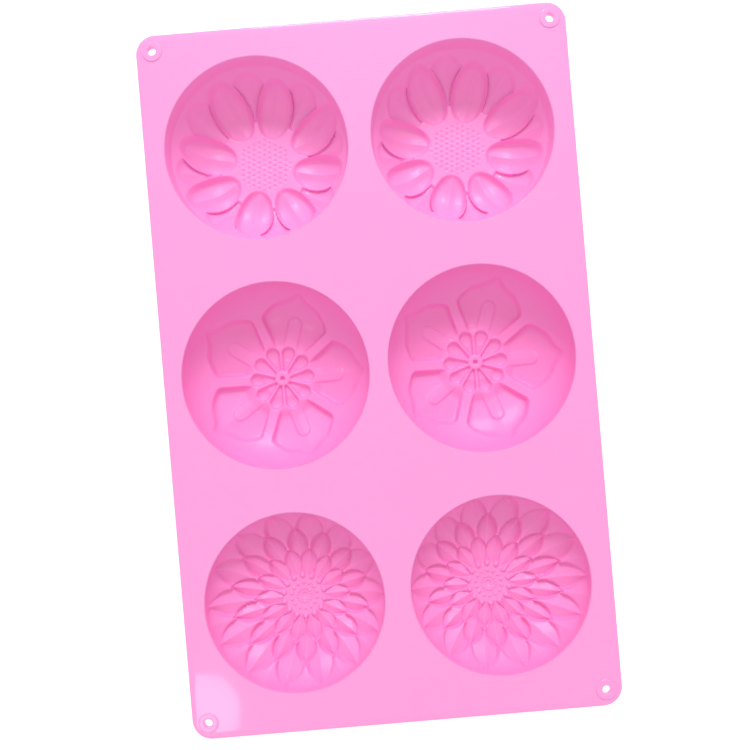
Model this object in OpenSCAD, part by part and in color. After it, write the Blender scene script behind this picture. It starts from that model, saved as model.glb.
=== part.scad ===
// Silicone soap mould with six flower-shaped cups in one flexible sheet.
// The sheet is the top of the moulding, the cups hang below it and the mould rests on their flat undersides.
// Width runs along X, length along Y, and Z points up from the surface that the mould rests on.

/* [Sheet] */
// Length of the sheet, along Y
sheet_length = 288; // [270:1:320]
// Width of the sheet, along X
sheet_width = 176; // [168:1:200]
// Thickness of the sheet
sheet_t = 2; // [1.6:0.1:2.6]
// Radius of the sheet's four corners
corner_r = 8; // [5:1:10]

/* [Cups] */
// Height of the top of the sheet above the surface that the mould rests on
mould_height = 25; // [24:0.5:28]
// Distance between the two columns of cups
column_pitch = 84.4; // [82:0.2:90]
// Distance between neighbouring rows of cups
row_pitch = 93.1; // [82:0.1:96]
// How far the middle row lies above the middle of the sheet
row_shift = 1.6; // [0:0.1:3]
// Thickness of a cup's wall at its mouth
wall_t = 2.4; // [1.8:0.1:3]
// Radius of a sunflower cup's mouth
sunflower_r = 37.4; // [36:0.1:38.5]
// Radius of a blossom cup's mouth
blossom_r = 38.2; // [36:0.1:38.5]
// Radius of a chrysanthemum cup's mouth
chrysanthemum_r = 36.7; // [36:0.1:38.5]

/* [Reliefs] */
// Depth of the plain wall above each relief
rim_depth = 6.4; // [5.6:0.2:8]
// Depth of the sunflower's seed disc
seed_depth = 21; // [19:0.1:21.2]
// Depth of the blossom cup's bowl at its centre
blossom_depth = 21.4; // [19:0.1:21.6]
// Depth of the chrysanthemum cup's bowl at its centre
chrysanthemum_depth = 19.1; // [18:0.1:19.5]
// How far the edges of the sunflower's front petals are let in
front_petal_depth = 1.5; // [0.8:0.1:1.6]
// How far the blossom's petals are let into the bowl
blossom_petal_depth = 1.5; // [0.6:0.1:1.7]
// How far the tips of the chrysanthemum's leaves are let into the bowl, against the design's own depth
leaf_depth = 1; // [0.5:0.1:1.1]

/* [Corner eyelets] */
// Radius of the hole through each eyelet
eyelet_hole_r = 1.7; // [1.5:0.1:2.2]
// Outer radius of the raised ring round the hole
eyelet_r = 4.2; // [3.4:0.1:4.6]
// Height of the ring above the sheet
eyelet_rise = 0.3; // [0.2:0.1:1]
// Distance from the eyelet's axis to each of the two nearest edges
eyelet_inset = 6.6; // [6:0.1:8]

/* [Hidden] */

// Which side of the middle a column lies on, and which way a row lies from the middle row
LEFT = -1;
RIGHT = 1;
REAR = 1;
MIDDLE = 0;
FRONT = -1;

// The three flowers
SUNFLOWER = "sunflower";
BLOSSOM = "blossom";
CHRYSANTHEMUM = "chrysanthemum";

sheet_bottom = mould_height - sheet_t;
rim_z = mould_height - rim_depth;

// Sharpness of the bowls' curves: 2 is an ellipse, and more is squarer
blossom_curve = 2.5;
chrysanthemum_curve = 1.96;
outer_curve = 3;
// Depth at which the outer curve would close; the flat underside cuts it off
outer_depth = mould_height + 0.6;

// Slope of the sunflower cup's wall
sunflower_draft = 0.9;
// Exponent of the dome between the sunflower's seed disc and the foot of its wall
dome_curve = 2.8;

// Sunflower: number of front petals, their first axis, and the seed disc's radius
sunflower_petals = 8;
sunflower_axis = 28.5;
seed_r = 12.8;
// Front and back petals: distance of the middle from the centre, half length, half width, bulge in the
// middle and fall to the sides
front_petal = [23.7, 11.5, 7.8, 1.2, 1.3];
back_petal = [27.2, 8.4, 8.6, 0.7, 0.8];
back_petal_depth = 1;
// Part of a petal's half width that its edge takes, and that the fall to its sides takes
petal_edge = [0.16, 0.3];
// Turn and shift outwards of each front petal, which are sculpted by hand
front_petal_turn = [-2.7, 0, -1, 3.7, 0, 2.1, 0, 2.2];
front_petal_shift = [1.6, -1, 0.7, -0.6, 0.6, -1.2, 0.4, 0.1];

// Blossom: petals, the raised strip between two petals, and the petal's tip and shoulders
blossom_petals = 5;
strip_w = 3.4;
petal_root_r = 14.5;
petal_tip_x = 38.4;
petal_tip_round = 1.6;
petal_shoulder = [25.9, 13.6];
ogee = 0.07;
// Width of a petal's edge beside the strips, and the outer edge's slope as a share of that edge's slope
blossom_edge_w = 1.3;
outer_edge_slope = 0.75;
// Blossom centre: ring of drops round the pistil
drops = 10;
drop_r = 3.2;
drop_ring_r = 11;
drop_depth = 1.4;
drop_edge_w = 1.1;
pistil_r = 3.4;

// Chrysanthemum: leaves in each ring
leaves = 14;
// Rings from the outermost in: root radius, tip radius, half width, turn in steps and depth at the tip
leaf_rings = [[28.5, 40.2, 7.6, 0.5, 2.2], [20.6, 36.8, 5.6, 0, 1.6], [14.1, 29.8, 4.1, 0.5, 1.9],
              [6.4, 21, 3.5, 0, 1.6]];
// Depth at a leaf's root as a share of the depth at its tip, fall to its sides, and rise of all leaves
leaf_root_share = 0.38;
leaf_side_drop = 1.69;
leaf_rise = 0.45;
// Exponents of a leaf's outline: where it is widest, and how blunt it is
leaf_shape = [0.94, 0.83];

// Fineness of the relief meshes: steps round the cup and from the centre to the rim
sectors = [96, 100, 112];
relief_steps = 12;
outer_steps = 3;
wall_steps = 5;

function limit(x, low, high) = min(max(x, low), high);
function smooth(x, low, high) = let (t = limit((x - low) / (high - low), 0, 1)) t * t * (3 - 2 * t);

// Angle measured from the nearest of count equally spaced axes
function fold(angle, count) = let (step = 360 / count) angle - step * round(angle / step);

// Depth of a bowl of mouth radius mouth_r and centre depth deepest, at radius r
function bowl_depth(r, mouth_r, deepest, curve) =
    deepest * pow(max(0, 1 - pow(r / mouth_r, curve)), 1 / curve);
// Radius of the same bowl at a depth
function bowl_r(depth, mouth_r, deepest, curve) =
    mouth_r * pow(max(0, 1 - pow(depth / deepest, curve)), 1 / curve);

function mouth_r(flower) = flower == SUNFLOWER ? sunflower_r : flower == BLOSSOM ? blossom_r : chrysanthemum_r;
function sector_count(flower) = flower == SUNFLOWER ? sectors[0] : flower == BLOSSOM ? sectors[1] : sectors[2];

// Inner radius of a cup's plain wall at a depth
function wall_r(flower, depth) =
    flower == SUNFLOWER ? sunflower_r - sunflower_draft * depth / rim_depth
    : flower == BLOSSOM ? bowl_r(depth, blossom_r, blossom_depth, blossom_curve)
    : bowl_r(depth, chrysanthemum_r, chrysanthemum_depth, chrysanthemum_curve);
// Outer radius of a cup at a depth
function outer_r(flower, depth) = bowl_r(depth, mouth_r(flower) + wall_t, outer_depth, outer_curve);

// Relief of an oval sunflower petal, for a point at radius r, turned by angle from its axis; 0 outside it
function oval_petal(r, angle, petal, edge_depth, shift) =
    let (
        x = (r * cos(angle) - petal[0] - shift) / petal[1],
        y = abs(r * sin(angle)) / petal[2],
        e = norm([x, y])
    )
    e < 1 ? edge_depth * smooth(1 - e, 0, petal_edge[0]) + petal[3] * (1 - e * e)
            + petal[4] * y * smooth(1 - e, 0, petal_edge[1]) : 0;

function front_relief(r, angle) =
    let (number = (round(angle * sunflower_petals / 360) + sunflower_petals) % sunflower_petals)
    oval_petal(r, fold(angle, sunflower_petals) - front_petal_turn[number], front_petal, front_petal_depth,
               front_petal_shift[number]);

function sunflower_relief(r, angle) =
    let (
        foot_r = wall_r(SUNFLOWER, rim_depth),
        t = limit((r - seed_r) / (foot_r - seed_r), 0, 1),
        dome = seed_depth - (seed_depth - rim_depth) * pow(t, dome_curve),
        front = front_relief(r, angle - sunflower_axis),
        back_angle = angle - sunflower_axis - 180 / sunflower_petals,
        back = oval_petal(r, fold(back_angle, sunflower_petals), back_petal, back_petal_depth, 0)
    )
    dome + (front > 0 ? front : back);

// How far a point lies inside a blossom petal's outline
function petal_margin(r, angle) =
    let (
        x = r * cos(angle),
        t = min(1.2, norm([r * sin(angle), petal_tip_round]) / petal_shoulder[1]),
        edge_x = petal_tip_x - (petal_tip_x - petal_shoulder[0]) * (t + ogee * sin(360 * t)),
        to_strip = r * sin(180 / blossom_petals - abs(angle)) - strip_w / 2
    )
    min(to_strip, outer_edge_slope * (edge_x - x), r - petal_root_r);

// How far a point lies inside a drop's outline
function drop_margin(r, angle) =
    let (x = r * cos(angle), y = abs(r * sin(angle)))
    r < pistil_r ? 0 : x < drop_ring_r ? drop_r * x / drop_ring_r - y : drop_r - norm([x - drop_ring_r, y]);

function blossom_relief(r, angle) =
    bowl_depth(r, blossom_r, blossom_depth, blossom_curve)
    + blossom_petal_depth * smooth(petal_margin(r, fold(angle, blossom_petals)), 0, blossom_edge_w)
    + drop_depth * smooth(drop_margin(r, fold(angle, drops)), 0, drop_edge_w);

// One ring of leaves: ridged, pointed, and let in further towards the tips; 0 outside them
function leaf_relief(r, angle, ring) =
    let (
        turned = fold(angle - ring[3] * 360 / leaves, leaves),
        t = limit((r * cos(turned) - ring[0]) / (ring[1] - ring[0]), 0, 1),
        half_w = ring[2] * pow(sin(180 * pow(t, leaf_shape[0])), leaf_shape[1]),
        y = abs(r * sin(turned))
    )
    y < half_w - 0.05 ? leaf_depth * (ring[4] * (leaf_root_share + (1 - leaf_root_share) * t)
                                      * (1 + leaf_side_drop * y / half_w) - leaf_rise) : 0;

// The innermost ring of leaves that holds the point lies over the others
function leaves_relief(r, angle, ring = 3) =
    ring < 0 ? 0
    : let (depth = leaf_relief(r, angle, leaf_rings[ring]))
      depth > 0 ? depth : leaves_relief(r, angle, ring - 1);

function chrysanthemum_relief(r, angle) =
    bowl_depth(r, chrysanthemum_r, chrysanthemum_depth, chrysanthemum_curve) + leaves_relief(r, angle);

function relief(flower, r, angle) =
    flower == SUNFLOWER ? sunflower_relief(r, angle)
    : flower == BLOSSOM ? blossom_relief(r, angle)
    : chrysanthemum_relief(r, angle);

// One ring of points round a cup, at one radius and height
function plain_ring(count, r, z) =
    [for (i = [0:count - 1]) let (angle = 360 * i / count) [r * cos(angle), r * sin(angle), z]];

// One ring of points on the relief
function relief_ring(flower, count, r) =
    [for (i = [0:count - 1]) let (angle = 360 * i / count)
        [r * cos(angle), r * sin(angle), mould_height - relief(flower, r, angle)]];

// Places its children at a cup's axis
module at_cup(side, row) {
    translate([side * column_pitch / 2, row * row_pitch + row_shift, 0]) children();
}

// Closed body from a top pole, rings of points listed from the inside out and down, and a bottom pole
module ring_body(top, rings, bottom) {
    count = len(rings[0]);
    last = len(rings) - 1;
    points = concat([top], [for (ring = rings) each ring], [bottom]);
    top_faces = [for (i = [0:count - 1]) [0, 1 + (i + 1) % count, 1 + i]];
    side_faces = [for (k = [0:last - 1], i = [0:count - 1])
        let (a = 1 + k * count + i, b = 1 + k * count + (i + 1) % count)
        each [[a, b, a + count], [b, b + count, a + count]]];
    bottom_faces = [for (i = [0:count - 1])
        [len(points) - 1, 1 + last * count + i, 1 + last * count + (i + 1) % count]];
    polyhedron(points, concat(top_faces, side_faces, bottom_faces));
}

// Plain upper wall of a cup, from a sharp lip at the mouth down to the relief
module cup_wall(flower) {
    inner = [for (i = [0:wall_steps])
        let (d = rim_depth * i / wall_steps)
        [wall_r(flower, d), mould_height - d]];
    outer = [for (i = [wall_steps:-1:0])
        let (d = sheet_t + (rim_depth - sheet_t) * i / wall_steps)
        [i == 0 ? mouth_r(flower) + wall_t : outer_r(flower, d), mould_height - d]];
    rotate_extrude($fn = 120) polygon(concat(inner, outer));
}

// Lower part of a cup: the flower relief on top, and the curved underside with its flat foot
module cup_floor(flower) {
    count = sector_count(flower);
    foot_r = wall_r(flower, rim_depth);
    inner = [for (i = [1:relief_steps - 1]) relief_ring(flower, count, foot_r * i / relief_steps)];
    rim = [plain_ring(count, foot_r, rim_z), plain_ring(count, outer_r(flower, rim_depth), rim_z)];
    outer = [for (i = [1:outer_steps])
        let (z = rim_z * pow(1 - i / outer_steps, 1.6))
        plain_ring(count, outer_r(flower, mould_height - z), z)];
    ring_body([0, 0, mould_height - relief(flower, 0, 0)], concat(inner, rim, outer), [0, 0, 0]);
}

// Flat sheet with rounded corners, six openings that widen downwards and four holes for the eyelets
module sheet() {
    color("pink") difference() {
        translate([0, 0, sheet_bottom]) linear_extrude(sheet_t) rounded_rectangle();
        for (side = [LEFT, RIGHT], row = [REAR, MIDDLE, FRONT])
            at_cup(side, row) mouth_cut(row == REAR ? SUNFLOWER : row == MIDDLE ? BLOSSOM : CHRYSANTHEMUM);
        for (side = [LEFT, RIGHT], end = [REAR, FRONT])
            at_eyelet(side, end)
                translate([0, 0, sheet_bottom - 1]) cylinder(r = eyelet_r, h = sheet_t + 2, $fn = 48);
    }
}

module rounded_rectangle() {
    square([sheet_width - 2 * corner_r, sheet_length], center = true);
    square([sheet_width, sheet_length - 2 * corner_r], center = true);
    for (x = [-1, 1], y = [-1, 1])
        translate([x * (sheet_width / 2 - corner_r), y * (sheet_length / 2 - corner_r)])
            circle(r = corner_r, $fn = 64);
}

// Cone that opens one cup's mouth in the sheet and goes a little past both faces
module mouth_cut(flower) {
    over = 1;
    slope = wall_t / sheet_t;
    translate([0, 0, sheet_bottom - over])
        cylinder(r1 = mouth_r(flower) + wall_t + slope * over, r2 = mouth_r(flower) - slope * over,
                 h = sheet_t + 2 * over, $fn = 120);
}

module at_eyelet(side, end) {
    translate([side * (sheet_width / 2 - eyelet_inset), end * (sheet_length / 2 - eyelet_inset), 0]) children();
}

// Thick ring with a hanging hole, set into a corner of the sheet
module eyelet() {
    translate([0, 0, sheet_bottom]) difference() {
        cylinder(r = eyelet_r, h = sheet_t + eyelet_rise, $fn = 48);
        translate([0, 0, -1]) cylinder(r = eyelet_hole_r, h = sheet_t + eyelet_rise + 2, $fn = 48);
    }
}

module sunflower_wall_left() { color("hotpink") at_cup(LEFT, REAR) cup_wall(SUNFLOWER); }
module sunflower_wall_right() { color("hotpink") at_cup(RIGHT, REAR) cup_wall(SUNFLOWER); }
module blossom_wall_left() { color("hotpink") at_cup(LEFT, MIDDLE) cup_wall(BLOSSOM); }
module blossom_wall_right() { color("hotpink") at_cup(RIGHT, MIDDLE) cup_wall(BLOSSOM); }
module chrysanthemum_wall_left() { color("hotpink") at_cup(LEFT, FRONT) cup_wall(CHRYSANTHEMUM); }
module chrysanthemum_wall_right() { color("hotpink") at_cup(RIGHT, FRONT) cup_wall(CHRYSANTHEMUM); }

module sunflower_floor_left() { color("violet") at_cup(LEFT, REAR) cup_floor(SUNFLOWER); }
module sunflower_floor_right() { color("violet") at_cup(RIGHT, REAR) cup_floor(SUNFLOWER); }
module blossom_floor_left() { color("violet") at_cup(LEFT, MIDDLE) cup_floor(BLOSSOM); }
module blossom_floor_right() { color("violet") at_cup(RIGHT, MIDDLE) cup_floor(BLOSSOM); }
module chrysanthemum_floor_left() { color("violet") at_cup(LEFT, FRONT) cup_floor(CHRYSANTHEMUM); }
module chrysanthemum_floor_right() { color("violet") at_cup(RIGHT, FRONT) cup_floor(CHRYSANTHEMUM); }

module eyelet_rear_left() { color("lightpink") at_eyelet(LEFT, REAR) eyelet(); }
module eyelet_rear_right() { color("lightpink") at_eyelet(RIGHT, REAR) eyelet(); }
module eyelet_front_left() { color("lightpink") at_eyelet(LEFT, FRONT) eyelet(); }
module eyelet_front_right() { color("lightpink") at_eyelet(RIGHT, FRONT) eyelet(); }

sheet();
sunflower_wall_left();
sunflower_wall_right();
blossom_wall_left();
blossom_wall_right();
chrysanthemum_wall_left();
chrysanthemum_wall_right();
sunflower_floor_left();
sunflower_floor_right();
blossom_floor_left();
blossom_floor_right();
chrysanthemum_floor_left();
chrysanthemum_floor_right();
eyelet_rear_left();
eyelet_rear_right();
eyelet_front_left();
eyelet_front_right();
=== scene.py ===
"""Silicone soap mould: a pink sheet with six flower-shaped cups, seen from straight above."""

import math

import bpy
import numpy as np
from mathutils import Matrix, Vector
from mathutils.geometry import delaunay_2d_cdt


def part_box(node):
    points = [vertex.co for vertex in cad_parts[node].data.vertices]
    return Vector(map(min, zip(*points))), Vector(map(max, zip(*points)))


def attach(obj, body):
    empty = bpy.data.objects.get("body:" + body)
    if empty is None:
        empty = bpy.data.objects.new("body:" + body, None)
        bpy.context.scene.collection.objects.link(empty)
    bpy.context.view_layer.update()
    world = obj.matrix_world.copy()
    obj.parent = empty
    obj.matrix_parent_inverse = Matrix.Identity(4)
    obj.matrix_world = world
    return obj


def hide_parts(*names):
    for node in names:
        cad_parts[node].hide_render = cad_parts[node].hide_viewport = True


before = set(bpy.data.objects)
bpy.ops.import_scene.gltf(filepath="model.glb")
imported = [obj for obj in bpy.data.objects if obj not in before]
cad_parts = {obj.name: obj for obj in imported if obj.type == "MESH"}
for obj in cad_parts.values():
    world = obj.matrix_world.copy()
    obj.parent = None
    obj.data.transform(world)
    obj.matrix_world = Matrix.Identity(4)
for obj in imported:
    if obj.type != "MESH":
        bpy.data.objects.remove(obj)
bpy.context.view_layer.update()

MM = 0.001
TAU = 2 * math.pi
SIDES = ("left", "right")
FLOWERS = ("sunflower", "blossom", "chrysanthemum")
CORNERS = ("rear_left", "rear_right", "front_left", "front_right")

# ---- places and sizes, in millimetres, read from the CAD frame --------------------------------


def box_mm(node):
    """Lowest and highest corner of a CAD node, in millimetres."""
    low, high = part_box(node)
    return np.array(low) / MM, np.array(high) / MM


def centre_xy(node):
    """Middle of a CAD node's box, seen from above."""
    low, high = box_mm(node)
    return (low[:2] + high[:2]) / 2


def outer_radius_of(node):
    """Outer radius of a round CAD node."""
    low, high = box_mm(node)
    return (high[0] - low[0]) / 2


SHEET_LOW, SHEET_HIGH = box_mm("sheet")
TOP = SHEET_HIGH[2]
SHEET_T = SHEET_HIGH[2] - SHEET_LOW[2]
HALF_W = SHEET_HIGH[0]
HALF_L = SHEET_HIGH[1]
# These three repeat the CAD design: the sheet's corners, a wall's thickness at its mouth, a hanging hole
CORNER_R = 8.0
WALL_T = 2.4
EYELET_HOLE_R = 1.7
# Roundings of the sheet's edge and of the cups' lips
EDGE_ROUND = 0.6
LIP_ROUND = 0.35
MOUTH_R = {f: outer_radius_of(f + "_wall_left") - WALL_T for f in FLOWERS}
CENTRE = {(f, s): centre_xy(f"{f}_wall_{s}") for f in FLOWERS for s in SIDES}
EYELET = {c: centre_xy("eyelet_" + c) for c in CORNERS}
EYELET_R = outer_radius_of("eyelet_rear_left")
EYELET_TOP = box_mm("eyelet_rear_left")[1][2]

# ---- curves shared by the flowers -------------------------------------------------------------


def smooth(x, low, high):
    """0 below low, 1 above high and an S-curve between."""
    t = np.clip((x - low) / (high - low), 0, 1)
    return t * t * (3 - 2 * t)


def soft_min(a, b, blend):
    """Smaller of two distances, with the corner where they cross rounded off."""
    return np.minimum(a, b) - np.maximum(blend - np.abs(a - b), 0) ** 2 / (4 * blend)


def fold(angle, count):
    """Angle measured from the nearest of count equally spaced axes."""
    step = TAU / count
    return angle - step * np.round(angle / step)


def bowl_depth(r, mouth_r, deepest, curve):
    """Depth of a bowl whose section is a superellipse."""
    return deepest * np.maximum(0, 1 - np.minimum(r / mouth_r, 1) ** curve) ** (1 / curve)


# ---- sunflower --------------------------------------------------------------------------------
SUN_RIM_DEPTH = 6.4
SUN_DRAFT = 0.9
SUN_SEED_DEPTH = 21.0
SUN_SEED_R = 12.8
SUN_DOME_CURVE = 2.8
SUN_PETALS = 8
SUN_AXIS = math.radians(28.5)
# Each petal is a spoon-shaped recess with a narrow ridge along its middle.
# squareness is the exponent of its outline.
SUN_FRONT = dict(mid=23.7, half_length=11.5, half_width=7.8, widening=0.08, squareness=2.1, edge_depth=1.5,
                 bulge=1.2, deeper_outwards=0.8, side_drop=1.3)
SUN_BACK = dict(mid=27.2, half_length=8.4, half_width=8.6, widening=0.0, squareness=2.0, edge_depth=1.0,
                bulge=0.7, deeper_outwards=0.0, side_drop=0.8)
# The front petals are sculpted one by one: turn in degrees and shift outwards of each
SUN_FRONT_TURN = np.array((-2.7, 0.0, -1.0, 3.7, 0.0, 2.1, 0.0, 2.2))
SUN_FRONT_SHIFT = np.array((1.6, -1.0, 0.7, -0.6, 0.6, -1.2, 0.4, 0.1))
# Parts of the way in from a petal's outline over which its edge and the fall to its sides set in
SUN_EDGE_W = 0.16
SUN_SIDE_W = 0.3
# Ridge along the middle: height, half width, and the parts of the way in over which it sets in
SUN_RIDGE = 0.45
SUN_RIDGE_W = 2.6
SUN_RIDGE_START = (0.05, 0.35)


def sun_petal(r, angle, petal, shift=0.0):
    """Relief of one petal, and where it lies."""
    x = (r * np.cos(angle) - petal["mid"] - shift) / petal["half_length"]
    across = np.abs(r * np.sin(angle))
    y = across / (petal["half_width"] * (1 + petal["widening"] * np.clip(x, -1, 1)))
    e = (np.abs(x) ** petal["squareness"] + y ** petal["squareness"]) ** (1 / petal["squareness"])
    floor = (petal["edge_depth"] + petal["deeper_outwards"] * x) * smooth(1 - e, 0, SUN_EDGE_W)
    sides = petal["side_drop"] * y * smooth(1 - e, 0, SUN_SIDE_W)
    ridge = SUN_RIDGE * np.maximum(0, 1 - across / SUN_RIDGE_W) * smooth(1 - e, *SUN_RIDGE_START)
    return floor + petal["bulge"] * np.maximum(0, 1 - e * e) + sides - ridge, e < 1


def seed_dots(r, angle):
    """Staggered columns of tiny pits over the seed disc."""
    turn = math.radians(5)
    column_pitch = 2.3
    dot_pitch = 2.2
    dot_r = 0.5
    depth = 0.45
    # how far inside a dot and inside the disc the pits start and reach their full depth
    dot_edge = (-0.3, 0.4)
    disc_edge = (0.8, 1.6)
    x, y = r * np.cos(angle + turn), r * np.sin(angle + turn)
    column = np.round(x / column_pitch)
    dx = x - column * column_pitch
    dy = y / dot_pitch - 0.5 * (column % 2)
    dy = (dy - np.round(dy)) * dot_pitch
    return depth * smooth(dot_r - np.hypot(dx, dy), *dot_edge) * smooth(SUN_SEED_R - r, *disc_edge)


def sunflower_depth(r, angle):
    """Steep wall, dome, front petals over back petals, and the seed disc."""
    foot_r = MOUTH_R["sunflower"] - SUN_DRAFT
    t = np.clip((r - SUN_SEED_R) / (foot_r - SUN_SEED_R), 0, 1)
    dome = SUN_SEED_DEPTH - (SUN_SEED_DEPTH - SUN_RIM_DEPTH) * t ** SUN_DOME_CURVE
    wall = SUN_RIM_DEPTH * (MOUTH_R["sunflower"] - r) / SUN_DRAFT
    base = np.where(r > foot_r, wall, dome)
    number = np.round((angle - SUN_AXIS) * SUN_PETALS / TAU).astype(int) % SUN_PETALS
    turned = fold(angle - SUN_AXIS, SUN_PETALS) - np.radians(SUN_FRONT_TURN)[number]
    front, in_front = sun_petal(r, turned, SUN_FRONT, SUN_FRONT_SHIFT[number])
    back, in_back = sun_petal(r, fold(angle - SUN_AXIS - math.pi / SUN_PETALS, SUN_PETALS), SUN_BACK)
    return base + np.where(in_front, front, np.where(in_back, back, seed_dots(r, angle)))


# ---- blossom ----------------------------------------------------------------------------------
BLOSSOM_DEPTH = 21.4
BLOSSOM_CURVE = 2.5
BLOSSOM_PETALS = 5
# A petal is let in by its depth, by the tilt more towards its sides, and by the dish more away from its edge
PETAL_DEPTH = 1.2
PETAL_TILT = 1.3
PETAL_DISH = 0.6
PETAL_EDGE_W = 1.5
PETAL_DISH_W = 2.8
# Between these radii the petals fade out towards the drops
PETAL_ROOT_R = (12.0, 18.0)
# Outline: where the tip and the shoulders lie, the swing of the edge between them, and their roundings
PETAL_TIP_X = 39.0
PETAL_SHOULDER = (25.9, 13.6)
PETAL_OGEE = 0.085
PETAL_TIP_ROUND = 1.9
PETAL_SHOULDER_ROUND = 2.8
# The outline stops falling back at this share of the shoulders' width
PETAL_LAST_SHARE = 1.2
# Raised strip between two petals
STRIP_W = 3.4
# Raised rib along each petal's middle
RIB_RISE = 0.6
RIB_HALF_W = 2.9
RIB_EDGE = 0.6
RIB_ROOT_R = 14.0
RIB_END_X = 26.8
# Ring of drops round the pistil
DROPS = 10
DROP_DEPTH = 1.2
DROP_HOLLOW = 0.7
DROP_R = 3.2
DROP_RING_R = 11.0
DROP_EDGE_W = 1.1
PISTIL_R = 3.4
PISTIL_RISE = 0.5
PISTIL_EDGE_W = 0.7
PISTIL_PIT = 1.6
PISTIL_PIT_R = 1.2
PISTIL_PIT_EDGE_W = 0.6


def petal_margin(r, turned):
    """How far a point lies inside a blossom petal's outline."""
    x, y = r * np.cos(turned), np.abs(r * np.sin(turned))
    t = np.minimum(PETAL_LAST_SHARE, np.hypot(y, PETAL_TIP_ROUND) / PETAL_SHOULDER[1])
    edge_x = PETAL_TIP_X - (PETAL_TIP_X - PETAL_SHOULDER[0]) * (t + PETAL_OGEE * np.sin(TAU * t))
    to_strip = r * np.sin(math.pi / BLOSSOM_PETALS - np.abs(turned)) - STRIP_W / 2
    return soft_min(to_strip, edge_x - x, PETAL_SHOULDER_ROUND)


def drop_margin(r, turned):
    """How far a point lies inside the outline of a drop in the blossom's centre."""
    x, y = r * np.cos(turned), np.abs(r * np.sin(turned))
    inside = np.where(x < DROP_RING_R, DROP_R * x / DROP_RING_R - y, DROP_R - np.hypot(x - DROP_RING_R, y))
    return np.where(r < PISTIL_R, 0, inside)


def blossom_depth(r, angle):
    """Bowl with five ribbed petals, a ring of drops and a pistil."""
    turned = fold(angle, BLOSSOM_PETALS)
    x, y = r * np.cos(turned), np.abs(r * np.sin(turned))
    margin = petal_margin(r, turned)
    inside = smooth(margin, 0, PETAL_EDGE_W) * smooth(r, *PETAL_ROOT_R)
    from_rib = np.hypot(x - np.clip(x, RIB_ROOT_R, RIB_END_X - RIB_HALF_W), y)
    rib = smooth(RIB_HALF_W - from_rib, -RIB_EDGE, RIB_EDGE)
    side = np.minimum(1, y / PETAL_SHOULDER[1])
    dish = PETAL_DISH * smooth(margin, 0, PETAL_DISH_W)
    petal = inside * (PETAL_DEPTH + PETAL_TILT * side - RIB_RISE * rib + dish)
    to_drop = fold(angle, DROPS)
    e = np.hypot(r * np.cos(to_drop) - DROP_RING_R, r * np.sin(to_drop)) / DROP_R
    hollow = DROP_HOLLOW * np.maximum(0, 1 - e * e)
    drop = DROP_DEPTH * smooth(drop_margin(r, to_drop), 0, DROP_EDGE_W) + hollow
    pit = PISTIL_PIT * smooth(PISTIL_PIT_R - r, 0, PISTIL_PIT_EDGE_W)
    pistil = pit - PISTIL_RISE * smooth(PISTIL_R - r, 0, PISTIL_EDGE_W)
    return bowl_depth(r, MOUTH_R["blossom"], BLOSSOM_DEPTH, BLOSSOM_CURVE) + petal + drop + pistil


# ---- chrysanthemum ----------------------------------------------------------------------------
CHRYS_DEPTH = 19.1
CHRYS_CURVE = 1.96
LEAVES = 14
# Rings of leaves from the outermost in: root radius, tip radius, half width, turn in steps, depth at the tip
LEAF_RINGS = ((30.3, 38.2, 2.9, 0.0, 1.8), (28.5, 40.2, 7.8, 0.5, 2.5), (20.6, 36.8, 6.0, 0.0, 2.5),
              (14.1, 29.7, 4.6, 0.5, 2.6), (8.0, 20.7, 3.9, 0.0, 2.1))
# Depth at a leaf's root as a share of the depth at its tip, and the share that is added towards its sides
LEAF_ROOT_SHARE = 0.3
LEAF_SIDE_DROP = 1.3
# How far all leaves are raised, and the width of a leaf's edge
LEAF_RISE = 0.5
LEAF_EDGE_W = 1.05
# Exponents of a leaf's outline: where it is widest, and how blunt it is
LEAF_SHAPE = (1.12, 0.72)
# Rings of raised beads round the middle: radius of the ring, of a bead, and its height
BEAD_RINGS = ((8.8, 1.15, 0.85), (5.6, 0.75, 0.5), (3.0, 0.55, 0.4))
# Small pit in the middle
BUTTON_R = 1.2
BUTTON_DEPTH = 0.5
BUTTON_EDGE = 0.5


def leaf_relief(r, angle, ring):
    """Relief of one ring of ridged, pointed leaves, and 0 outside them to 1 inside."""
    root, tip, half_w, turn, depth = ring
    turned = fold(angle - turn * TAU / LEAVES, LEAVES)
    x, y = r * np.cos(turned), np.abs(r * np.sin(turned))
    t = np.clip((x - root) / (tip - root), 0, 1)
    edge = half_w * np.maximum(np.sin(math.pi * t ** LEAF_SHAPE[0]), 0) ** LEAF_SHAPE[1]
    sides = 1 + LEAF_SIDE_DROP * np.minimum(1, y / np.maximum(edge, 1e-6))
    relief = depth * (LEAF_ROOT_SHARE + (1 - LEAF_ROOT_SHARE) * t) * sides - LEAF_RISE
    return relief, smooth(edge - y, 0, LEAF_EDGE_W)


def chrysanthemum_depth(r, angle):
    """Bowl with overlapping rings of leaves, the inner ones on top, and rings of beads."""
    relief = np.zeros_like(r)
    for ring in LEAF_RINGS:
        leaf, inside = leaf_relief(r, angle, ring)
        relief = relief * (1 - inside) + leaf * inside
    turned = fold(angle - math.pi / LEAVES, LEAVES)
    for ring_r, bead_r, rise in BEAD_RINGS:
        e = np.hypot(r * np.cos(turned) - ring_r, r * np.sin(turned)) / bead_r
        relief -= rise * np.sqrt(np.maximum(0, 1 - e * e))
    button = BUTTON_DEPTH * smooth(BUTTON_R - r, -BUTTON_EDGE, BUTTON_EDGE)
    return bowl_depth(r, MOUTH_R["chrysanthemum"], CHRYS_DEPTH, CHRYS_CURVE) + relief + button


DEPTH = {"sunflower": sunflower_depth, "blossom": blossom_depth, "chrysanthemum": chrysanthemum_depth}
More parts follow.
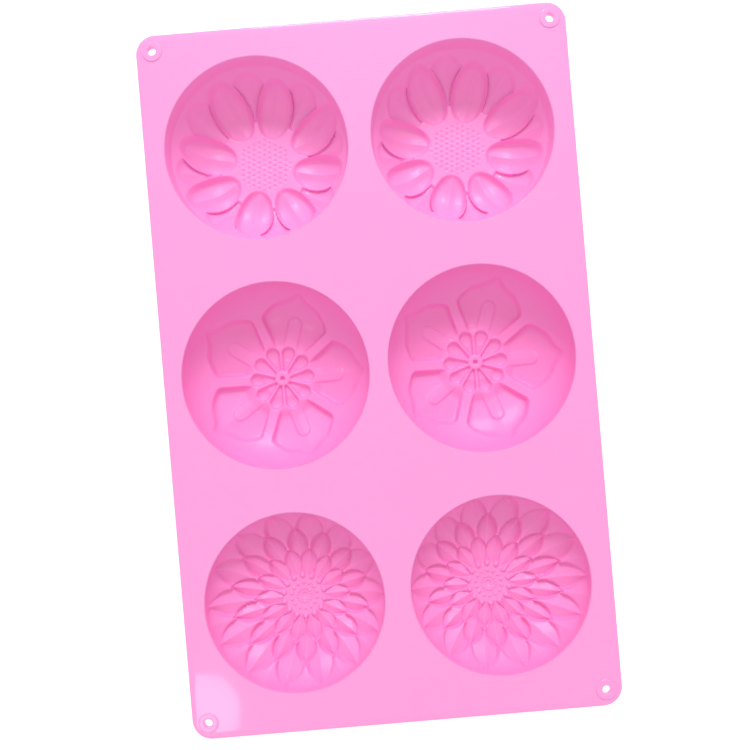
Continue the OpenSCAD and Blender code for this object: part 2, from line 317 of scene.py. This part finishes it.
# How far a flower's middle lies off its mouth's, in X and Y: fitted to the photo, not measured
LEAN = {("chrysanthemum", "left"): (1.9, -1.4), ("chrysanthemum", "right"): (-2.8, -2.9)}

# ---- meshes -----------------------------------------------------------------------------------
# Points round a cup and steps from its middle to its mouth
SECTORS = 600
RINGS = 126
# Outside of a cup: its curve, and how far below the mould's foot that curve would close
OUTER_CURVE = 3
CLOSES_BELOW = 0.6
SHARP_ANGLE = math.radians(40)


def mesh_object(name, points, faces):
    """Object at the origin from points in millimetres, smooth but for its sharp edges."""
    mesh = bpy.data.meshes.new(name)
    mesh.from_pydata((np.asarray(points) * MM).tolist(), [], faces)
    mesh.update()
    mesh.polygons.foreach_set("use_smooth", [True] * len(mesh.polygons))
    mesh.set_sharp_from_angle(angle=SHARP_ANGLE)
    piece = bpy.data.objects.new(name, mesh)
    bpy.context.scene.collection.objects.link(piece)
    return piece


def add_piece(name, points, faces, nodes):
    """A piece of the mould that rides on the part and stands for its CAD nodes."""
    piece = mesh_object(name, points, faces)
    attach(piece, "root")
    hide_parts(*nodes)
    return piece


def ring_body(rings, top_pole, bottom_pole):
    """Points and faces of a closed body, from rings listed from the top pole outwards, down and back in."""
    count = len(rings[0])
    points = np.concatenate([[top_pole]] + rings + [[bottom_pole]])
    i = np.arange(count)
    j = (i + 1) % count
    faces = [(0, 1 + a, 1 + b) for a, b in zip(i, j)]
    for k in range(len(rings) - 1):
        low = 1 + k * count
        faces += np.stack([low + i, low + count + i, low + count + j, low + j], 1).tolist()
    last = 1 + (len(rings) - 1) * count
    faces += [(len(points) - 1, last + b, last + a) for a, b in zip(i, j)]
    return points, faces


def plain_section(flower, r):
    """Section that a cup's rings are spaced along: through a sunflower's petal, or else the plain bowl."""
    if flower == "sunflower":
        return sunflower_depth(r, np.full_like(r, SUN_AXIS + math.pi / SUN_PETALS / 2))
    if flower == "blossom":
        return bowl_depth(r, MOUTH_R[flower], BLOSSOM_DEPTH, BLOSSOM_CURVE)
    return bowl_depth(r, MOUTH_R[flower], CHRYS_DEPTH, CHRYS_CURVE)


def ring_radii(flower):
    """Ring radii spaced evenly along the cup's section, so that the steep wall gets its share."""
    samples = 4000
    # heights count a little less, or the wall would take too many rings
    height_share = 0.7
    r = np.linspace(0, MOUTH_R[flower], samples)
    steps = np.hypot(np.diff(r), height_share * np.diff(plain_section(flower, r)))
    length = np.concatenate([[0], np.cumsum(steps)])
    return np.interp(np.linspace(0, length[-1], RINGS + 1)[1:-1], length, r)


def outer_radius(depth, mouth_r):
    """Radius of a cup's outside at a depth below the sheet's top."""
    closing_depth = TOP + CLOSES_BELOW
    return (mouth_r + WALL_T) * np.maximum(0, 1 - (depth / closing_depth) ** OUTER_CURVE) ** (1 / OUTER_CURVE)


def leaning_depth(flower, side, r, angle):
    """Depth of a cup whose flower may lie a little off its mouth's middle."""
    lean_x, lean_y = LEAN.get((flower, side), (0.0, 0.0))
    slack = 1 - (r / MOUTH_R[flower]) ** 2
    x, y = r * np.cos(angle) - lean_x * slack, r * np.sin(angle) - lean_y * slack
    return DEPTH[flower](np.hypot(x, y), np.arctan2(y, x))


def build_cup(flower, side):
    """One cup: flower relief and wall inside, rounded lip, smooth bowl and flat foot outside."""
    mouth_r = MOUTH_R[flower]
    cx, cy = CENTRE[flower, side]
    angle = np.arange(SECTORS) * TAU / SECTORS

    def ring(r, depth):
        return np.stack([cx + r * np.cos(angle), cy + r * np.sin(angle),
                         np.broadcast_to(TOP - depth, angle.shape)], 1)

    rings = [ring(r, np.maximum(leaning_depth(flower, side, np.full_like(angle, r), angle), LIP_ROUND))
             for r in ring_radii(flower)]
    for a in np.radians(np.linspace(0, 90, 5)):
        rings.append(ring(mouth_r + LIP_ROUND * (1 - math.cos(a)), LIP_ROUND * (1 - math.sin(a))))
    # rings on the outside, from the sheet down to the foot, closer together where the curve is tight
    side_depths = np.linspace(SHEET_T + 1.5, TOP - 4, 8)
    foot_depths = [TOP - height for height in (2.4, 1.2, 0.4, 0)]
    for depth in (SHEET_T, *side_depths, *foot_depths):
        rings.append(ring(outer_radius(depth, mouth_r), depth))
    centre_depth = float(leaning_depth(flower, side, np.zeros(1), np.zeros(1))[0])
    points, faces = ring_body(rings, (cx, cy, TOP - centre_depth), (cx, cy, 0))
    nodes = (f"{flower}_wall_{side}", f"{flower}_floor_{side}")
    return add_piece(f"{flower}_cup_{side}", points, faces, nodes)


def circle_points(x, y, r, count):
    """Points round a circle."""
    return [(x + r * math.cos(TAU * k / count), y + r * math.sin(TAU * k / count)) for k in range(count)]


def sheet_outline(inset, steps=16):
    """The sheet's outline, moved in by inset."""
    points = []
    r = CORNER_R - inset
    for k, (sx, sy) in enumerate(((1, 1), (-1, 1), (-1, -1), (1, -1))):
        for a in range(steps + 1):
            t = math.radians(90) * (k + a / steps)
            points.append((sx * (HALF_W - CORNER_R) + r * math.cos(t),
                           sy * (HALF_L - CORNER_R) + r * math.sin(t)))
    return points


def flat_sheet(holes):
    """Triangles over the sheet between its outline and its round holes."""
    points, edges = [], []
    for loop in [sheet_outline(EDGE_ROUND)] + [circle_points(*hole) for hole in holes]:
        first = len(points)
        points += loop
        edges += [(first + k, first + (k + 1) % len(loop)) for k in range(len(loop))]
    # grid of points between the borders, which keeps the triangles compact
    grid_step = 6.0
    edge_gap = 3.0
    hole_gap = 1.5
    for x in np.arange(-HALF_W + edge_gap, HALF_W - edge_gap + 1, grid_step):
        for y in np.arange(-HALF_L + edge_gap, HALF_L - edge_gap + 1, grid_step):
            if all(math.hypot(x - hx, y - hy) > r + hole_gap for hx, hy, r, _ in holes):
                points.append((x, y))
    all_triangles = 0
    merge_distance = 1e-6
    corners = [Vector(p) for p in points]
    flat, _, faces, *_ = delaunay_2d_cdt(corners, edges, [], all_triangles, merge_distance)
    flat = np.array([tuple(p) for p in flat])
    # even a sliver between three neighbours on a hole's circle has its middle within this share of the radius
    sliver_share = 0.9999

    def is_sheet(face):
        x, y = flat[list(face)].mean(0)
        past_x, past_y = abs(x) - HALF_W + CORNER_R, abs(y) - HALF_L + CORNER_R
        in_corner = past_x > 0 and past_y > 0 and math.hypot(past_x, past_y) > CORNER_R - EDGE_ROUND
        return not in_corner and all(math.hypot(x - hx, y - hy) > r * sliver_share for hx, hy, r, _ in holes)

    return flat, [tuple(f) for f in faces if is_sheet(f)]


def border_edges(faces):
    """Edges that only one face uses, in that face's direction."""
    used = {(f[k], f[(k + 1) % len(f)]) for f in faces for k in range(len(f))}
    return sorted((a, b) for a, b in used if (b, a) not in used)


def build_sheet():
    """Flat sheet with rounded edges, six mouths and four eyelet holes."""
    mouth_points = 360
    eyelet_points = 64
    mouths = [(*CENTRE[f, s], MOUTH_R[f] + LIP_ROUND, mouth_points) for f in FLOWERS for s in SIDES]
    eyelets = [(x, y, EYELET_R, eyelet_points) for x, y in EYELET.values()]
    flat, faces = flat_sheet(mouths + eyelets)
    count = len(flat)
    top = np.column_stack([flat, np.full(count, TOP)])
    low = np.column_stack([flat, np.full(count, TOP - SHEET_T)])
    # the mouths widen downwards, to make room for the cups' walls under their lips
    spread = 6.0
    for x, y, r, _ in mouths:
        away = low[:, :2] - (x, y)
        dist = np.hypot(*away.T)
        near = dist < r + spread
        grow = (WALL_T - LIP_ROUND) * np.clip((r + spread - dist[near]) / spread, 0, 1)
        low[near, :2] += away[near] / dist[near, None] * grow[:, None]
    all_faces = faces + [tuple(count + v for v in reversed(f)) for f in faces]

    def on_hole(point):
        touch = 0.01
        return any(abs(math.hypot(point[0] - x, point[1] - y) - r) < touch for x, y, r, _ in mouths + eyelets)

    borders = border_edges(faces)
    hole_edges = [e for e in borders if on_hole(flat[e[0]])]
    rim_edges = [e for e in borders if not on_hole(flat[e[0]])]
    all_faces += [(b, a, count + a, count + b) for a, b in hole_edges]
    # rounded outer edge: each rim point gets a chain of points from the top face to the bottom face
    half_steps = 5
    extra, chains = [], {}
    for a in sorted({a for a, _ in rim_edges}):
        x, y = flat[a]
        inner = np.clip(flat[a], (CORNER_R - HALF_W, CORNER_R - HALF_L),
                        (HALF_W - CORNER_R, HALF_L - CORNER_R))
        out = (flat[a] - inner) / np.hypot(*(flat[a] - inner))
        chains[a] = [a]
        for k in range(1, 2 * half_steps):
            t = math.pi * k / (2 * half_steps)
            middle = TOP - EDGE_ROUND if k <= half_steps else TOP - SHEET_T + EDGE_ROUND
            extra.append((x + out[0] * EDGE_ROUND * math.sin(t), y + out[1] * EDGE_ROUND * math.sin(t),
                          middle + EDGE_ROUND * math.cos(t)))
            chains[a].append(2 * count + len(extra) - 1)
        chains[a].append(count + a)
    all_faces += [(chains[b][k], chains[a][k], chains[a][k + 1], chains[b][k + 1])
                  for a, b in rim_edges for k in range(2 * half_steps)]
    return add_piece("top_sheet", np.concatenate([top, low, extra]), all_faces, ["sheet"])


def build_eyelet(corner):
    """Ring with rounded edges round a hanging hole, a little proud of the sheet."""
    x, y = EYELET[corner]
    low = TOP - SHEET_T
    # the rounding of the edges is just smaller than the ring's height over the sheet
    edge_share = 0.95
    edge = (EYELET_TOP - TOP) * edge_share
    profile = []
    for cx, cz, first in ((EYELET_R - edge, EYELET_TOP - edge, 0),
                          (EYELET_HOLE_R + edge, EYELET_TOP - edge, 90),
                          (EYELET_HOLE_R + edge, low + edge, 180)):
        for t in np.radians(np.linspace(first, first + 90, 6)):
            profile.append((cx + edge * math.cos(t), cz + edge * math.sin(t)))
    profile.append((EYELET_R, low))
    count = 96
    points = [(*p, z) for r, z in profile for p in circle_points(x, y, r, count)]
    faces = []
    for i in range(len(profile)):
        below = (i + 1) % len(profile)
        for k in range(count):
            after = (k + 1) % count
            faces.append((i * count + k, i * count + after, below * count + after, below * count + k))
    return add_piece("corner_ring_" + corner, points, faces, ["eyelet_" + corner])


# ---- material ---------------------------------------------------------------------------------


def silicone(name, colour, deep_colour, gloss):
    """Soft translucent silicone rubber with faint mottling and a very fine skin texture."""
    material = bpy.data.materials.new(name)
    material.use_nodes = True
    nodes, links = material.node_tree.nodes, material.node_tree.links
    shader = nodes["Principled BSDF"]
    for socket, value in (("Roughness", 0.45), ("IOR", 1.41), ("Subsurface Weight", 0.2),
                          ("Subsurface Radius", (1.0, 0.35, 0.6)), ("Subsurface Scale", 0.0015),
                          ("Coat Weight", gloss), ("Coat Roughness", 0.06), ("Coat IOR", 1.41)):
        shader.inputs[socket].default_value = value
    place = nodes.new("ShaderNodeTexCoord")
    mottle = nodes.new("ShaderNodeTexNoise")
    mottle.inputs["Scale"].default_value = 22.0
    mottle.inputs["Detail"].default_value = 4.0
    mix = nodes.new("ShaderNodeMix")
    mix.data_type = "RGBA"
    mix.inputs["A"].default_value = (*colour, 1)
    mix.inputs["B"].default_value = (*deep_colour, 1)
    links.new(place.outputs["Object"], mottle.inputs["Vector"])
    links.new(mottle.outputs["Fac"], mix.inputs["Factor"])
    links.new(mix.outputs["Result"], shader.inputs["Base Color"])
    grain = nodes.new("ShaderNodeTexNoise")
    grain.inputs["Scale"].default_value = 2400.0
    grain.inputs["Detail"].default_value = 2.0
    bump = nodes.new("ShaderNodeBump")
    bump.inputs["Strength"].default_value = 0.06
    bump.inputs["Distance"].default_value = 0.0001
    links.new(place.outputs["Object"], grain.inputs["Vector"])
    links.new(grain.outputs["Fac"], bump.inputs["Height"])
    links.new(bump.outputs["Normal"], shader.inputs["Normal"])
    return material


# ---- stage ------------------------------------------------------------------------------------
# The camera's place over the sheet, in metres
CAMERA_X = 0.0
CAMERA_Y = -0.021
CAMERA_HEIGHT = 0.300


def build_floor():
    """White table that glows a little, so that the mould's shadow stays faint."""
    half = 3000.0
    floor = mesh_object("floor", [(-half, -half, 0), (half, -half, 0), (half, half, 0), (-half, half, 0)],
                        [(0, 1, 2, 3)])
    material = bpy.data.materials.new("pale_floor")
    material.use_nodes = True
    shader = material.node_tree.nodes["Principled BSDF"]
    shader.inputs["Base Color"].default_value = (0.93, 0.93, 0.93, 1)
    shader.inputs["Roughness"].default_value = 0.9
    shader.inputs["Emission Color"].default_value = (1, 1, 1, 1)
    shader.inputs["Emission Strength"].default_value = 0.45
    floor.data.materials.append(material)


def add_light(name, shape, place, size, watts, aim):
    """Area light, places and sizes in metres."""
    light = bpy.data.lights.new(name, "AREA")
    light.shape = shape
    light.size = size
    light.energy = watts
    lamp = bpy.data.objects.new(name, light)
    lamp.location = place
    lamp.rotation_euler = (Vector(aim) - Vector(place)).to_track_quat("-Z", "Y").to_euler()
    bpy.context.scene.collection.objects.link(lamp)


def mirrored_place(x, y, height):
    """Place at a height above the sheet whose reflection the camera sees at x, y, all in metres."""
    share = height / CAMERA_HEIGHT
    return (x + (x - CAMERA_X) * share, y + (y - CAMERA_Y) * share, TOP * MM + height)


def build_lights():
    """Even white surroundings, a large softbox beyond the mould's far end and a small round lamp."""
    world = bpy.data.worlds.new("studio")
    world.use_nodes = True
    sky = world.node_tree.nodes["Background"]
    sky.inputs["Color"].default_value = (1, 1, 1, 1)
    sky.inputs["Strength"].default_value = 0.74
    bpy.context.scene.world = world
    add_light("softbox", "SQUARE", (0.1, 1.6, 1.4), 0.75, 25, (0, 0, 0.02))
    # the lamp's reflection lies on the mould's front left corner
    corner = (-0.084, -0.1335)
    add_light("lamp", "DISK", mirrored_place(*corner, 0.6), 0.093, 0.17, (*corner, TOP * MM))


def build_camera():
    """Straight above the mould and a little below its middle, turned so that the mould leans to the left."""
    camera = bpy.data.cameras.new("camera")
    frame_width = 0.3056
    camera.sensor_width = 36
    camera.lens = camera.sensor_width * CAMERA_HEIGHT / frame_width
    camera.shift_x = -0.0112
    camera.shift_y = 0.0625
    viewer = bpy.data.objects.new("camera", camera)
    viewer.location = (CAMERA_X, CAMERA_Y, TOP * MM + CAMERA_HEIGHT)
    viewer.rotation_euler = (0, 0, math.radians(-4.85))
    bpy.context.scene.collection.objects.link(viewer)
    bpy.context.scene.camera = viewer
    bpy.context.scene.view_settings.view_transform = "Standard"


# The two pinks that each flower's cups are mottled with. Both are painted shade, a deeper pink than the
# sheet's for the shade in the hollows. The sunflower cups' pinks are a little paler, painted light where more
# light falls on them.
CUP_PAINTED_SHADE_PINKS = {"sunflower": ((0.99, 0.335, 0.70), (0.98, 0.32, 0.68)),
               "blossom": ((0.99, 0.29, 0.66), (0.98, 0.275, 0.64)),
               "chrysanthemum": ((0.99, 0.295, 0.655), (0.98, 0.28, 0.635))}
sheet_pink = silicone("sheet_silicone", (0.99, 0.345, 0.705), (0.98, 0.33, 0.685), gloss=0.7)
for piece in [build_sheet()] + [build_eyelet(c) for c in CORNERS]:
    piece.data.materials.append(sheet_pink)
for flower, (colour, deep_colour) in CUP_PAINTED_SHADE_PINKS.items():
    # painted shade: each flower's cups get a deeper pink than the sheet, the sunflower's a little paler as
    # painted light
    cup_painted_shade_pink = silicone(flower + "_silicone", colour, deep_colour, gloss=0.12)
    for side in SIDES:
        build_cup(flower, side).data.materials.append(cup_painted_shade_pink)

build_floor()
build_lights()
build_camera()

bpy.context.view_layer.update()
